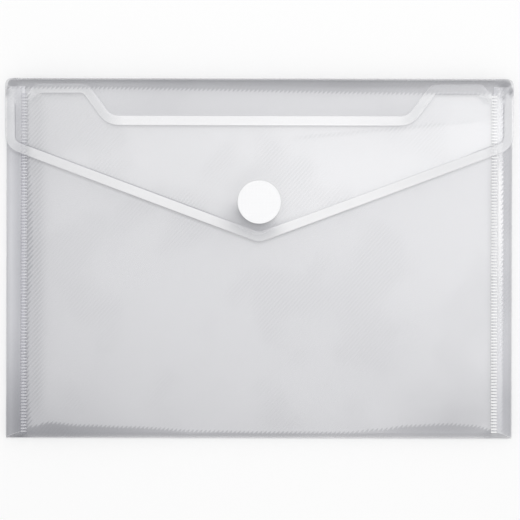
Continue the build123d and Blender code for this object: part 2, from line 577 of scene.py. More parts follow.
@dataclass(frozen=True)
class Scatter:
    """A Geometry Nodes tree that sets copies of a small shape out on a grid or within a disc.

    Args:
        columns: Grid points along X.
        rows: Grid points along Y.
        pitch: Distance between grid points in mm, along X and Y.
        radius: Copies further than this from the grid's middle are left out, in mm.
        spin: How far each copy may be turned about Z, in degrees.
        shift: How far each copy may stand off its grid point, in mm.
        seed: The seed of the turns and shifts.
    """

    columns: int
    rows: int
    pitch: Point
    radius: float
    spin: float
    shift: float
    seed: int

    def tree(self, name: str) -> NodeTree:
        """Makes the node tree, with its named inputs.

        Args:
            name: The tree's name.

        Returns:
            The tree.
        """
        tree = bpy.data.node_groups.new(name, "GeometryNodeTree")
        inputs = {
            "Geometry": ("Geometry",),
            "Object": ("Shape",),
            "Material": ("Finish",),
            "Int": ("Columns", "Rows", "Seed"),
            "Float": ("Width", "Length", "Radius", "Spin", "Shift"),
            "Vector": ("Centre",),
        }
        for kind, labels in inputs.items():
            for label in labels:
                tree.interface.new_socket(label, in_out="INPUT", socket_type=f"NodeSocket{kind}")
        tree.interface.new_socket("Geometry", in_out="OUTPUT", socket_type="NodeSocketGeometry")
        given = add_node(tree, "NodeGroupInput").outputs
        grid = add_node(
            tree,
            "GeometryNodeMeshGrid",
            Size_X=given["Width"],
            Size_Y=given["Length"],
            Vertices_X=given["Columns"],
            Vertices_Y=given["Rows"],
        )
        place = add_node(tree, "GeometryNodeInputPosition")
        reach = add_node(tree, "ShaderNodeVectorMath", {"operation": "LENGTH"}, Vector=place).outputs["Value"]
        beyond = {"data_type": "FLOAT", "operation": "GREATER_THAN"}
        outside = add_node(tree, "FunctionNodeCompare", beyond, A=reach, B=given["Radius"])
        kept = add_node(
            tree, "GeometryNodeDeleteGeometry", {"domain": "POINT"}, Geometry=grid, Selection=outside
        )
        points = add_node(tree, "GeometryNodeMeshToPoints", Mesh=kept)
        least, most = (
            add_node(tree, "ShaderNodeVectorMath", {"operation": "SCALE"}, Vector=way, Scale=given["Shift"])
            for way in ((-1, -1, 0), (1, 1, 0))
        )
        stray = add_node(
            tree,
            "FunctionNodeRandomValue",
            {"data_type": "FLOAT_VECTOR"},
            {0: least, 1: most},
            Seed=given["Seed"],
        )
        offset = add_node(tree, "ShaderNodeVectorMath", {"operation": "ADD"}, {0: stray, 1: given["Centre"]})
        moved = add_node(tree, "GeometryNodeSetPosition", Geometry=points, Offset=offset)
        turned = add_node(
            tree,
            "FunctionNodeRandomValue",
            {"data_type": "FLOAT"},
            {2: 0.0, 3: given["Spin"]},
            Seed=given["Seed"],
        )
        angle = add_node(tree, "ShaderNodeCombineXYZ", Z=turned.outputs[1])
        shape = add_node(tree, "GeometryNodeObjectInfo", Object=given["Shape"]).outputs["Geometry"]
        copies = add_node(tree, "GeometryNodeInstanceOnPoints", Points=moved, Instance=shape, Rotation=angle)
        real = add_node(tree, "GeometryNodeRealizeInstances", Geometry=copies)
        dressed = add_node(tree, "GeometryNodeSetMaterial", Geometry=real, Material=given["Finish"])
        add_node(tree, "NodeGroupOutput", Geometry=dressed)
        return tree

    def mesh(self, name: str, shape: Mesh, finish: Material, centre: Sequence[float]) -> Mesh:
        """Sets the copies out and turns them into a plain mesh.

        Args:
            name: The mesh's name.
            shape: The small shape, about its own origin; it is removed.
            finish: The copies' material.
            centre: The middle of the grid in mm.

        Returns:
            The mesh of all copies.
        """
        template = add_object(f"{name}_shape", shape)
        holder = add_object(f"{name}_holder", bpy.data.meshes.new(f"{name}_holder"))
        modifier = holder.modifiers.new("copies", "NODES")
        modifier.node_group = self.tree(f"{name}_tree")
        values = {
            "Shape": template,
            "Finish": finish,
            "Columns": self.columns,
            "Rows": self.rows,
            "Width": (self.columns - 1) * self.pitch[0] * MM,
            "Length": (self.rows - 1) * self.pitch[1] * MM,
            "Radius": self.radius * MM,
            "Spin": math.radians(self.spin),
            "Shift": self.shift * MM,
            "Seed": self.seed,
            "Centre": [value * MM for value in centre],
        }
        for item in modifier.node_group.interface.items_tree:
            if item.in_out == "INPUT" and item.name in values:
                modifier[item.identifier] = values[item.name]
        bpy.context.view_layer.update()
        made = holder.evaluated_get(bpy.context.evaluated_depsgraph_get())
        mesh = bpy.data.meshes.new_from_object(made)
        mesh.name = name
        holder.modifiers.clear()
        for helper in (holder, template):
            spare = helper.data
            bpy.data.objects.remove(helper)
            bpy.data.meshes.remove(spare)
        return mesh


# Materials


def linear(code: str) -> tuple[float, float, float, float]:
    """Turns an sRGB hex colour into linear red, green, blue and alpha."""
    parts = [int(code[place : place + 2], 16) / 255 for place in (1, 3, 5)]
    mixed = [part / 12.92 if part <= 0.04045 else ((part + 0.055) / 1.055) ** 2.4 for part in parts]
    return (*mixed, 1.0)


def new_material(name: str) -> tuple[Material, NodeTree]:
    """Makes an empty node material.

    Args:
        name: The material's name.

    Returns:
        The material and its tree.
    """
    made = bpy.data.materials.new(name)
    made.use_nodes = True
    made.node_tree.nodes.clear()
    return made, made.node_tree


def stripe_scale(pitch: float) -> float:
    """The Wave Texture's scale for a line pitch in mm."""
    return 2 * math.pi / (WAVE_TURN * pitch * MM)


@dataclass(frozen=True)
class FilmFinish:
    """Clear polypropylene film, cast with fine slanting lines that glint and give soft saw-tooth highlights.

    Args:
        name: The material's name.
        clear: Colour of the light that each face lets through.
        haze: Colour of the light that the film scatters.
        haze_share: Share of the light that each face scatters when seen squarely.
        edge_share: Share that it scatters more when seen edge on.
        gloss: Roughness of the reflections.
        mirror: Share of the light that each face mirrors when seen squarely.
        line_pitch: Distance between the lines in mm. The real lines are 1 mm apart or less, and are drawn
            coarser so that they show.
        line_angle: Slant of the lines in degrees.
        line_depth: Height of the lines in mm.
        line_shade: Depth of the shade colour between the lines, in patches.
        cloud_size: Size of these patches in mm.
        cloud_edge: Shares of the clouds at which a patch starts and is full.
        cloud_haze: How much the haze differs in the clouds, as a share of it.
        rim: Colour of the milky film: the pressed rim, which is partly its own haze and partly a painted
            highlight,
        and the painted highlights beside the left weld and on the right gusset.
        rim_share: Share that each face of the rim scatters.
        milk_roughness: Roughness of the milky film.
        smoke: Colour of the light that the film lets through in its painted shade: in folds, pressed lines
            and the dot's shadow, and on the cast lines.
        fold_depth: Depth of that colour in a fold, a painted shade.
        tooth: How far the lines make a fold's edge ragged, as a share of its blur.
        tooth_edge: Shares of the fold, with its teeth, at which its depth starts and is full.
        mark_depth: Depth of the shade colour in a pressed line or mark, and in the painted shadow round
        the dot and the painted patches of shade and light.
    """

    name: str
    clear: str = "#FFFFFF"
    haze: str = "#D9DADD"
    haze_share: float = 0.02
    edge_share: float = 0.05
    gloss: float = 0.25
    mirror: float = 0.04
    line_pitch: float = 1.5
    line_angle: float = 48.0
    line_depth: float = 0.015
    line_shade: float = 0.018
    cloud_size: float = 35.714286
    cloud_edge: Span = (0.48, 0.62)
    cloud_haze: float = 0.1
    rim: str = "#FAFAFB"
    rim_share: float = 0.55
    milk_roughness: float = 0.5
    smoke: str = "#7C7D87"
    fold_depth: float = 0.145
    tooth: float = 0.22
    tooth_edge: Span = (0.555, 0.615)
    mark_depth: float = 0.3

    def build(self) -> Material:
        """Makes the material."""
        made, tree = new_material(self.name)
        where = add_node(tree, "ShaderNodeTexCoord").outputs["Object"]
        slant = (0, 0, math.radians(90 - self.line_angle))
        turned = add_node(tree, "ShaderNodeMapping", Vector=where, Rotation=slant)
        lines = add_node(
            tree,
            "ShaderNodeTexWave",
            {"bands_direction": "X"},
            Vector=turned,
            Scale=stripe_scale(self.line_pitch),
            Distortion=0.0,
        ).outputs["Fac"]
        bump = add_node(tree, "ShaderNodeBump", Height=lines, Strength=1.0, Distance=self.line_depth * MM)
        painted, drawn = (
            add_node(tree, "ShaderNodeAttribute", {"attribute_name": name, "attribute_type": "GEOMETRY"})
            for name in ("zones", "hatch")
        )
        zone = add_node(tree, "ShaderNodeSeparateColor", Color=painted).outputs
        ragged = add_node(
            tree, "ShaderNodeMath", {"operation": "MULTIPLY_ADD"}, {0: lines, 1: self.tooth, 2: zone["Green"]}
        )
        # A fold takes on the painted shade colour and ends the milk of a rim that runs into it
        bent, milky = (
            add_node(
                tree,
                "ShaderNodeMapRange",
                SMOOTH,
                Value=ragged,
                From_Min=self.tooth_edge[0],
                From_Max=self.tooth_edge[1],
                To_Min=outside,
                To_Max=inside,
            )
            for outside, inside in ((0.0, 1.0), (zone["Red"], 0.0))
        )
        cloud = add_node(
            tree, "ShaderNodeTexNoise", Vector=where, Scale=1 / (self.cloud_size * MM), Detail=2.0
        ).outputs["Fac"]
        thin = add_node(
            tree,
            "ShaderNodeMapRange",
            Value=cloud,
            To_Min=self.haze_share * (1 - self.cloud_haze),
            To_Max=self.haze_share * (1 + self.cloud_haze),
        )
        patch = add_node(
            tree,
            "ShaderNodeMapRange",
            SMOOTH,
            Value=cloud,
            From_Min=self.cloud_edge[0],
            From_Max=self.cloud_edge[1],
            To_Max=self.line_shade,
        )
        hatch = add_node(tree, "ShaderNodeMath", {"operation": "ADD"}, {0: drawn.outputs["Fac"], 1: patch})
        depth = add_node(tree, "ShaderNodeMath", {"operation": "MULTIPLY"}, {0: hatch, 1: lines})
        for amount, weight in ((bent, self.fold_depth), (zone["Blue"], self.mark_depth)):
            depth = add_node(tree, "ShaderNodeMath", ADD_SHARE, {0: amount, 1: weight, 2: depth})
        facing = add_node(tree, "ShaderNodeLayerWeight", Blend=0.5).outputs["Facing"]
        share = thin
        for amount, weight in ((facing, self.edge_share), (milky, self.rim_share)):
            share = add_node(tree, "ShaderNodeMath", ADD_SHARE, {0: amount, 1: weight, 2: share})
        tint, through = (
            add_node(
                tree,
                "ShaderNodeMix",
                {"data_type": "RGBA"},
                {6: linear(none), 7: linear(full)},
                Factor=amount,
            )
            for none, full, amount in ((self.haze, self.rim, milky), (self.clear, self.smoke, depth))
        )
        milk = add_node(
            tree,
            "ShaderNodeBsdfPrincipled",
            Base_Color=tint.outputs[2],
            Roughness=self.milk_roughness,
            Specular_IOR_Level=0.0,
            Normal=bump,
        )
        clear = add_node(tree, "ShaderNodeBsdfTransparent", Color=through.outputs[2])
        body = add_node(tree, "ShaderNodeMixShader", {}, {0: share, 1: clear, 2: milk})
        # The mirror's share grows towards grazing, alike on both faces: light goes straight through the film
        # here, so the total reflection of a Fresnel node on inner faces would make it a mirror from the side
        grazing = add_node(tree, "ShaderNodeMath", {"operation": "POWER"}, {0: facing, 1: GRAZING_POWER})
        mirror = add_node(
            tree,
            "ShaderNodeMath",
            {"operation": "MULTIPLY_ADD"},
            {0: grazing, 1: 1 - self.mirror, 2: self.mirror},
        )
        shine = add_node(tree, "ShaderNodeBsdfGlossy", Color=(1, 1, 1, 1), Roughness=self.gloss, Normal=bump)
        skin = add_node(tree, "ShaderNodeMixShader", {}, {0: mirror, 1: body, 2: shine})
        add_node(tree, "ShaderNodeOutputMaterial", Surface=skin)
        return made


@dataclass(frozen=True)
class TapeFinish:
    """White nylon tape or pile, whose fine threads give it a soft matt face.

    Args:
        name: The material's name.
        colour: The yarn's colour.
        shadow: The colour between the threads.
        thread_pitch: Distance between the threads in mm. The real threads are finer, and are drawn coarser so
            that they show.
        thread_depth: Height of the threads in mm.
        sheen: Weight of the soft glow at the edges.
        wander: How much the threads wander.
        relief: Share of the threads' height that the light shows.
        roughness: Roughness of the yarn.
    """

    name: str
    colour: str
    shadow: str
    thread_pitch: float
    thread_depth: float
    sheen: float
    wander: float = 1.5
    relief: float = 0.6
    roughness: float = 0.75

    def build(self) -> Material:
        """Makes the material."""
        made, tree = new_material(self.name)
        where = add_node(tree, "ShaderNodeTexCoord").outputs["Object"]
        warp, weft = (
            add_node(
                tree,
                "ShaderNodeTexWave",
                {"bands_direction": direction},
                Vector=where,
                Scale=stripe_scale(self.thread_pitch),
                Distortion=self.wander,
                Detail=1.0,
            ).outputs["Fac"]
            for direction in ("X", "Y")
        )
        weave = add_node(tree, "ShaderNodeMath", {"operation": "MAXIMUM"}, {0: warp, 1: weft})
        depth = self.thread_depth * MM
        bump = add_node(tree, "ShaderNodeBump", Height=weave, Strength=self.relief, Distance=depth)
        colours = {6: linear(self.shadow), 7: linear(self.colour)}
        tint = add_node(tree, "ShaderNodeMix", {"data_type": "RGBA"}, colours, Factor=weave)
        yarn = add_node(
            tree,
            "ShaderNodeBsdfPrincipled",
            Base_Color=tint.outputs[2],
            Roughness=self.roughness,
            Sheen_Weight=self.sheen,
            Normal=bump,
        )
        add_node(tree, "ShaderNodeOutputMaterial", Surface=yarn)
        return made


@dataclass(frozen=True)
class FloorFinish:
    """White card under the wallet, plain and matt, which takes its shadow."""

    name: str
    colour: str
    roughness: float = 0.9

    def build(self) -> Material:
        """Makes the material."""
        made, tree = new_material(self.name)
        card = add_node(
            tree,
            "ShaderNodeBsdfPrincipled",
            Base_Color=linear(self.colour),
            Roughness=self.roughness,
            Specular_IOR_Level=0.0,
        )
        add_node(tree, "ShaderNodeOutputMaterial", Surface=card)
        return made


# The wallet


@dataclass(frozen=True)
class WalletSize:
    """Sizes of the whole wallet in mm, as the CAD has them. Heights are of the middle of the film."""

    half_width: float = 117.5
    top_y: float = 83.35
    bottom_y: float = -83.35
    film: float = 0.3
    back_z: float = 0.15
    front_z: float = 5.45
    flap_z: float = 8.45
    spine_z: float = 4.3
    crease_z: float = 2.8
    side_x: float = 109.0
    fold_y: float = -80.7
    weld_inner_x: float = 107.5
    weld_outer_x: float = 110.5
    weld_top_y: float = 76.4
    tab_y: float = 80.8
    tab_end_x: float = 103.1
    cut_y: float = 65.9
    cut_floor_x: float = 68.7
    cut_top_x: float = 79.7
    shoulder_y: float = 51.0
    tip_y: float = 7.3
    gusset_top_y: float = 79.8
    ear_y: float = 80.1
    corner_radius: float = 3.2
    rim_width: float = 4.5
    groove: float = 0.05
    groove_width: float = 0.25
    dot_y: float = 26.0
    dot_radius: float = 10.0
    dot_clearance: float = 0.03


@dataclass(frozen=True)
class Film:
    """A panel of the film: an outline, guide lines for its mesh and a height over the card.

    Args:
        name: The piece's name.
        outline: The closed outline seen from above, in mm.
        guides: Lines that the mesh follows.
        height: Gives the height of the film's middle for points seen from above.
        zones: Gives the shares of milky rim with painted highlight, of fold with painted shade, of marks with
        painted shade, and of hatching, for points seen from above.
    """

    name: str
    outline: np.ndarray
    guides: list[np.ndarray]
    height: Callable[[np.ndarray], np.ndarray]
    zones: Callable[[np.ndarray], np.ndarray] | None = None

    def build(self, thickness: float, finish: Material) -> Object:
        """Makes the film's shell.

        Args:
            thickness: The film's thickness in mm.
            finish: Its material.

        Returns:
            The shell.
        """
        flat, triangles = triangulate(self.outline, self.guides, MESH_STEP)
        middle = np.column_stack((flat, self.height(flat)))
        zones = self.zones(flat) if self.zones else None
        return add_object(self.name, shell_mesh(self.name, middle, triangles, thickness, zones), finish)


def rim_zones(inward: np.ndarray, width: float) -> tuple[np.ndarray, np.ndarray]:
    """Paints the pressed rim along a free edge.

    Args:
        inward: Distances from the edge.
        width: The rim's width.

    Returns:
        The shares of the milky rim, and of the line along its inner edge.
    """
    rim = np.clip((width - RIM_GAP - inward) / LINE_WIDTH, 0, 1)
    line = np.clip(1 - np.abs(inward - width) / LINE_WIDTH, 0, 1)
    return rim, line


def fold_zone(beyond: np.ndarray) -> np.ndarray:
    """The fold's share, from distances in mm past the edge of its band, which the lines make ragged."""
    return np.clip(0.5 - beyond / FOLD_BLUR, 0, 1)


def fold_height(up: np.ndarray, run: np.ndarray, total: float, tight: float) -> np.ndarray:
    """Height of the film in a fold: a tight round from its edge, then a slope that eases off.

    Args:
        up: Distances from the fold's edge.
        run: How far the slope reaches at each place.
        total: Height at the end of the slope.
        tight: How far the round reaches.

    Returns:
        The heights.
    """
    start = tight / 2
    slope = FOLD_SLOPE * np.clip(run - tight, 0, None)
    share = (up - start) / (run - start)
    soft = FOLD_EASE / (run - start)
    eased = np.where(share < 1 - soft, share, 1 - (1 + soft - np.minimum(share, 1 + soft)) ** 2 / (4 * soft))
    return (total - slope) * quarter(up / tight) + slope * np.clip(eased, 0, 1)


def along_stations(stations: Sequence[Point], place: np.ndarray) -> np.ndarray:
    """A smooth value along a line, which eases from station to station.

    Args:
        stations: The place and value of each station, in order.
        place: The places to give values for.

    Returns:
        The values.
    """
    value = np.full(len(place), stations[0][1], float)
    for (start, low), (end, high) in zip(stations, stations[1:]):
        value += (high - low) * smoothstep(start, end, place)
    return value


def fold_rows(edge: float, run: float, half_width: float) -> list[np.ndarray]:
    """Guide lines across a fold, closer together where it is steeper.

    Args:
        edge: The fold's outermost y in mm.
        run: How far the fold reaches in from there, with its sign.
        half_width: Half the length of the lines.

    Returns:
        The lines.
    """
    across = np.arange(-half_width, half_width + 0.01, MESH_STEP)
    rows = [edge + run * (1 - math.cos(math.radians(turn))) for turn in FOLD_TURNS]
    return [np.column_stack((across, np.full(len(across), row))) for row in rows]


@dataclass
class FlapFilm:
    """The pointed flap with the upper half of the rounded spine, resting on the closure dot."""

    size: WalletSize
    # The outline, the parts of a ring round the dot, and the top fold, which reaches further on the right
    shoulder_radius: float = 8.0
    tip_radius: float = 8.0
    end_run: float = 5.5
    dot_parts: int = 60
    fold_stations: tuple[Point, ...] = ((-95.0, 4.6), (95.0, 7.1))
    fold_most: float = 8.0
    fold_margin: float = 6.0
    tight: float = 1.8
    # The film hangs from the dot, waves a little and ripples along its left edge
    sag: float = 1.2
    sag_from: Span = (4.0, 40.0)
    dot_hold: float = 24.0
    tent: float = 0.5
    tent_reach: float = 5.0
    waves: tuple[Wave, ...] = (Wave(0.10, 17.0, 31.0), Wave(0.07, 9.3, -14.0, 1.1))
    ripple: float = 0.3
    ripple_reach: float = 8.0
    ripple_run: float = 3.6
    ripple_from: Span = (6.0, 16.0)
    rim_lift: float = 0.12
    rim_lift_from: Span = (2.0, 12.0)
    # The free edge's rim and lines fade out near the top fold, the ends and, for the inner line, on the right
    free_from: Span = (1.0, 5.0)
    end_line: Patch = Patch(0.5, ((Along.OUT, 112.5, 115.0),))
    rim_fades: tuple[Patch, ...] = (
        Patch(0.2, ((Along.OUT, 45.0, 100.0),)),
        Patch(0.45, ((Along.OUT, 104.0, 109.0),)),
    )
    line_fade: Patch = Patch(0.8, ((Along.X, -30.0, 20.0), (Along.X, 104.0, 95.0)))
    # The dot's shade on the film: the way it falls, and the depth and reach of its two layers
    shade_way: Point = (-0.35, -0.94)
    shade_turn: Span = (0.2, 1.0)
    shade_layers: tuple[Point, ...] = ((0.5, 2.0), (0.55, 8.5))
    shade_mark: float = 0.8
    shade_rim: float = 1.6
    shade_rim_most: float = 0.5
    # A slanting row of painted glints on the right half, drawn as cast lines, and painted shade above it,
    # above the mouth and in the top edge
    glint_y: float = 54.1
    glint_rise: float = 0.093
    glint_width: float = 0.9
    glint_run: Span = (14.0, 102.0)
    glints: Patch = Patch(0.075, ((Along.X, 12.0, 25.0), (Along.X, 104.0, 98.0)))
    marks: tuple[Patch, ...] = (
        Patch(0.08, ((Along.GLINT, -0.3, 0.6), (Along.X, 30.0, 70.0), (Along.GLINT, 16.0, 9.0))),
        Patch(0.06, ((Along.Y, 64.0, 68.0), (Along.OUT, 75.0, 55.0))),
        Patch(0.12, ((Along.DROP, 1.6, 0.4), (Along.X, 60.0, 0.0))),
    )
    # The cast lines show less on the right, and not over the dot
    plain_right: Patch = Patch(0.02, ((Along.X, 20.0, 60.0),))
    plain_dot: float = 0.1

    def edge(self) -> np.ndarray:
        """The free edge, from the right corner round the tip to the left one."""
        s = self.size
        end = (s.half_width, s.top_y - self.end_run, 0.0)
        right = [end, (s.half_width, s.shoulder_y, self.shoulder_radius)]
        left = [(-x, y, radius) for x, y, radius in reversed(right)]
        return fillet_outline([*right, (0.0, s.tip_y, self.tip_radius), *left])

    def outline(self) -> np.ndarray:
        """The whole outline, anticlockwise from above."""
        s = self.size
        right = [(s.half_width, s.top_y, s.corner_radius), (s.half_width, s.top_y - self.end_run, 0.0)]
        left = [(-x, y, radius) for x, y, radius in reversed(right)]
        return np.vstack((self.edge()[:-1], fillet_outline([*left, *right])[:-1]))[::-1]

    def fold_run(self, x: np.ndarray) -> np.ndarray:
        """How far the top fold reaches down at a place along it."""
        return along_stations(self.fold_stations, x)

    def dot_shade(self, flat: np.ndarray) -> np.ndarray:
        """The depth of the dot's shade, which falls on the film below the dot.

        Args:
            flat: Points seen from above.

        Returns:
            The depth at each point.
        """
        s = self.size
        from_dot = flat - (0.0, s.dot_y)
        away = np.hypot(from_dot[:, 0], from_dot[:, 1])
        reach = np.where(away > s.dot_radius + HAIRLINE, np.maximum(away - s.dot_radius, 0), np.inf)
        below = smoothstep(*self.shade_turn, from_dot @ self.shade_way / np.maximum(away, 1))
        return below * sum(depth * bell(reach, width) for depth, width in self.shade_layers)

    def zones(self, flat: np.ndarray) -> np.ndarray:
        """Paints the film.

        Args:
            flat: Points seen from above.

        Returns:
            Their shares of milky rim with painted highlight, of fold with painted shade, of marks with
            painted shade, and of hatching.
        """
        s = self.size
        x, y = flat[:, 0], flat[:, 1]
        drop = s.top_y - y
        glint = y - self.glint_y - self.glint_rise * x
        places = {Along.X: x, Along.OUT: np.abs(x), Along.Y: y, Along.DROP: drop, Along.GLINT: glint}
        shade_depth = self.dot_shade(flat)
        inward = distance_to_line(flat, self.edge())
        free = smoothstep(*self.free_from, drop)
        rim, line = (free * share for share in rim_zones(inward, s.rim_width))
        hatch = RIM_HATCH * rim + self.glints.at(places) * bell(glint, self.glint_width)
        hatch -= self.plain_right.at(places)
        hatch -= self.plain_dot * (np.hypot(x, y - s.dot_y) < s.dot_radius + LINE_WIDTH)
        rim *= 1 - self.shade_rim * np.minimum(shade_depth, self.shade_rim_most)
        rim *= 1 - paint(self.rim_fades, places)
        line *= 1 - self.line_fade.at(places)
        edge_line = np.clip(1 - inward / LINE_WIDTH, 0, 1) * np.maximum(free, self.end_line.at(places))
        # Pressed lines and the cut edge, with the painted shadow of the dot and patches of painted shade
        mark_and_shade = np.maximum.reduce((line, edge_line, self.shade_mark * shade_depth)) + paint(self.marks, places)
        return np.column_stack((rim, fold_zone(drop - self.fold_run(x)), mark_and_shade, hatch))

    def height(self, flat: np.ndarray) -> np.ndarray:
        """Shapes the film.

        Args:
            flat: Points seen from above.

        Returns:
            The height of the film's middle at each point.
        """
        s = self.size
        x, y = flat[:, 0], flat[:, 1]
        drop = s.top_y - y
        total = s.flap_z + s.dot_clearance - s.spine_z
        level = s.spine_z + fold_height(drop, self.fold_run(x), total, self.tight)
        reach = np.maximum(np.hypot(x, y - s.dot_y) - s.dot_radius, 0)
        loose = smoothstep(*self.sag_from, drop) * (1 - bell(reach, self.dot_hold))
        level -= self.sag * loose + self.tent * (1 - bell(reach, self.tent_reach))
        level += loose * sum(wave.at(flat) for wave in self.waves)
        ripple = self.ripple * bell(x + s.half_width, self.ripple_reach) * np.sin(y / self.ripple_run)
        level += ripple * smoothstep(*self.ripple_from, drop)
        inward = distance_to_line(flat, self.edge())
        rim = np.clip(1 - inward / s.rim_width, 0, 1)
        level += self.rim_lift * rim * smoothstep(*self.rim_lift_from, drop)
        return level - s.groove * bell(inward - s.rim_width, s.groove_width)

    def guides(self) -> list[np.ndarray]:
        """Lines that the mesh follows: along the rim, round the dot, across the fold and along the glints."""
        s = self.size
        edge = self.edge()
        lines = [offset_line(edge, -s.rim_width - row)[RIM_TRIM:-RIM_TRIM] for row in LINE_ROWS]
        lines.append(offset_line(edge, -LINE_WIDTH)[EDGE_TRIM:-EDGE_TRIM])
        around = np.linspace(0, 2 * math.pi, self.dot_parts + 1)
        for radius in (s.dot_radius + row for row in DOT_ROWS):
            lines.append(np.column_stack((radius * np.cos(around), s.dot_y + radius * np.sin(around))))
        half = s.half_width - self.fold_margin
        lines += fold_rows(s.top_y, -self.tight, half)
        across = np.arange(-half, half + 0.1, MESH_STEP)
        ticks = np.arange(*self.glint_run, MESH_STEP)
        for row in EDGE_ROWS:
            lines.append(np.column_stack((across, s.top_y - self.fold_run(across) - row)))
            lines.append(np.column_stack((ticks, self.glint_y + self.glint_rise * ticks + row)))
        return lines

    def build(self, finish: Material) -> Object:
        """Makes the flap, in place of the CAD's flap panel and top spine.

        Args:
            finish: Its material.

        Returns:
            The flap.
        """
        s = self.size
        film = Film("flap_film", self.outline(), self.guides(), self.height, self.zones)
        made = film.build(s.film, finish)
        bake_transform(made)
        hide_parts("flap_panel", "top_spine")
        return made


@dataclass
class FrontFilm:
    """The front panel with its thumb cut and the upper half of the bottom fold."""

    size: WalletSize
    # The outline, and how far the bottom fold reaches up along it
    mouth_radius: float = 6.5
    tab_radius: float = 2.0
    weld_lap: float = 0.3
    fold_rise: float = 0.6
    fold_margin: float = 3.0
    tight: float = 1.9
    slope_least: float = 1.0
    turn_rise: float = 3.0
    fold_stations: tuple[Point, ...] = (
        (-112.0, 2.3),
        (-107.0, 4.6),
        (-97.0, 6.8),
        (-82.0, 5.5),
        (-60.0, 4.8),
        (-27.0, 3.0),
        (0.0, 2.5),
        (40.0, 2.4),
        (56.0, 3.9),
        (70.0, 5.7),
        (88.0, 6.5),
        (100.0, 5.7),
        (107.0, 4.0),
        (112.0, 2.3),
    )
    # The film swells beside the welds and waves where nothing holds it
    swell_left: float = 0.35
    swell_right: float = 0.3
    swell_run: float = 5.0
    swell_to: Span = (75.0, 12.0)
    free_from_fold: Span = (2.0, 16.0)
    free_from_tabs: Span = (0.0, 8.0)
    free_from_welds: Span = (0.0, 20.0)
    free_from_dot: Span = (10.0, 26.0)
    waves: tuple[Wave, ...] = (Wave(0.10, 23.0, 17.0), Wave(0.06, 11.0, -13.0, 0.6))
    rim_drop: float = 0.12
    rim_drop_from: Span = (-2.0, 6.0)
    # The mouth's rim is clearer on the tabs, and its inner line is faint
    rim_fade: Patch = Patch(0.45, ((Along.OUT, 62.0, 74.0),))
    line_share: float = 0.4
    # The cast lines show beside the left weld with a painted highlight among them, and make the edge of a
    # painted shade along the weld ragged
    hatch: float = 0.09
    hatch_milk: float = 0.08
    hatch_at: float = 4.5
    hatch_width: float = 3.2
    hatch_from: Span = (4.0, 20.0)
    bend_at: float = 1.4
    bend_wave: float = 0.8
    bend_run: float = 17.0
    bend_phase: float = 1.0
    bend_most: float = 0.5
    # Painted shade makes the bottom fold darker on the left and in its left end, and the lower corners
    # darker, and painted light makes the fold lighter along its edge and on the right
    foot_mark: Patch = Patch(0.1, ((Along.FOLD, 0.45, 0.55), (Along.X, -20.0, -80.0)))
    marks: tuple[Patch, ...] = (
        Patch(-0.3, ((Along.UP, 2.5, 0.0),)),
        Patch(0.27, ((Along.UP, 2.5, 0.0), (Along.X, -55.0, -95.0))),
        Patch(-0.15, ((Along.UP, 5.0, 2.0), (Along.X, 0.0, 40.0), (Along.X, 106.0, 98.0))),
        Patch(0.75, ((Along.UP, 3.2, 0.5), (Along.X, -107.0, -110.0))),
        Patch(0.08, ((Along.X, -50.0, -85.0), (Along.Y, -45.0, -75.0))),
        Patch(0.08, ((Along.X, 50.0, 85.0), (Along.Y, -45.0, -75.0), (Along.Y, -79.0, -75.0))),
    )

    def mouth(self) -> np.ndarray:
        """The free edge of the mouth, from the right weld to the left one."""
        s = self.size
        right = [
            (s.weld_inner_x + self.weld_lap, s.weld_top_y, 0.0),
            (s.tab_end_x, s.tab_y, self.tab_radius),
            (s.cut_top_x, s.tab_y, self.mouth_radius),
            (s.cut_floor_x, s.cut_y, self.mouth_radius),
        ]
        return fillet_outline(mirrored(right))

    def outline(self) -> np.ndarray:
        """The whole outline, anticlockwise from above."""
        s = self.size
        foot = [
            (-s.weld_inner_x - self.weld_lap, s.weld_top_y, 0.0),
            (-s.weld_inner_x - self.weld_lap, s.fold_y + self.fold_rise, 0.0),
            (-s.weld_outer_x, s.fold_y, 0.0),
            (-s.half_width, s.bottom_y, 0.0),
        ]
        return np.vstack((self.mouth()[:-1], fillet_outline(mirrored(foot))[:-1]))

    def fold_run(self, x: np.ndarray) -> np.ndarray:
        """How far the bottom fold reaches up at a place along it."""
        return along_stations(self.fold_stations, x)

    def zones(self, flat: np.ndarray) -> np.ndarray:
        """Paints the film.

        Args:
            flat: Points seen from above.

        Returns:
            Their shares of milky rim with painted highlight, of fold with painted shade, of marks with
            painted shade, and of hatching.
        """
        s = self.size
        x, y = flat[:, 0], flat[:, 1]
        up = y - s.bottom_y
        foot = fold_zone(up - self.fold_run(x))
        places = {Along.X: x, Along.OUT: np.abs(x), Along.Y: y, Along.UP: up, Along.FOLD: foot}
        from_weld = x + s.weld_inner_x
        beside = bell(from_weld - self.hatch_at, self.hatch_width) * smoothstep(*self.hatch_from, up)
        rim, line = rim_zones(distance_to_line(flat, self.mouth()), s.rim_width)
        hatch = RIM_HATCH * rim + self.hatch * beside
        # Painted highlight: milky film among the cast lines beside the left weld
        rim = np.maximum(rim * (1 - self.rim_fade.at(places)), self.hatch_milk * beside)
        # Painted shade along the left weld, with a wavy ragged edge
        bend = self.bend_at + self.bend_wave * np.sin(y / self.bend_run + self.bend_phase)
        fold = np.maximum(foot, np.minimum(fold_zone(from_weld - bend), self.bend_most))
        # The faint pressed line, with painted shade and painted light in the bottom fold and the lower
        # corners
        mark_and_shade = np.maximum(self.line_share * line, self.foot_mark.at(places)) + paint(self.marks, places)
        return np.column_stack((rim, fold, mark_and_shade, hatch))

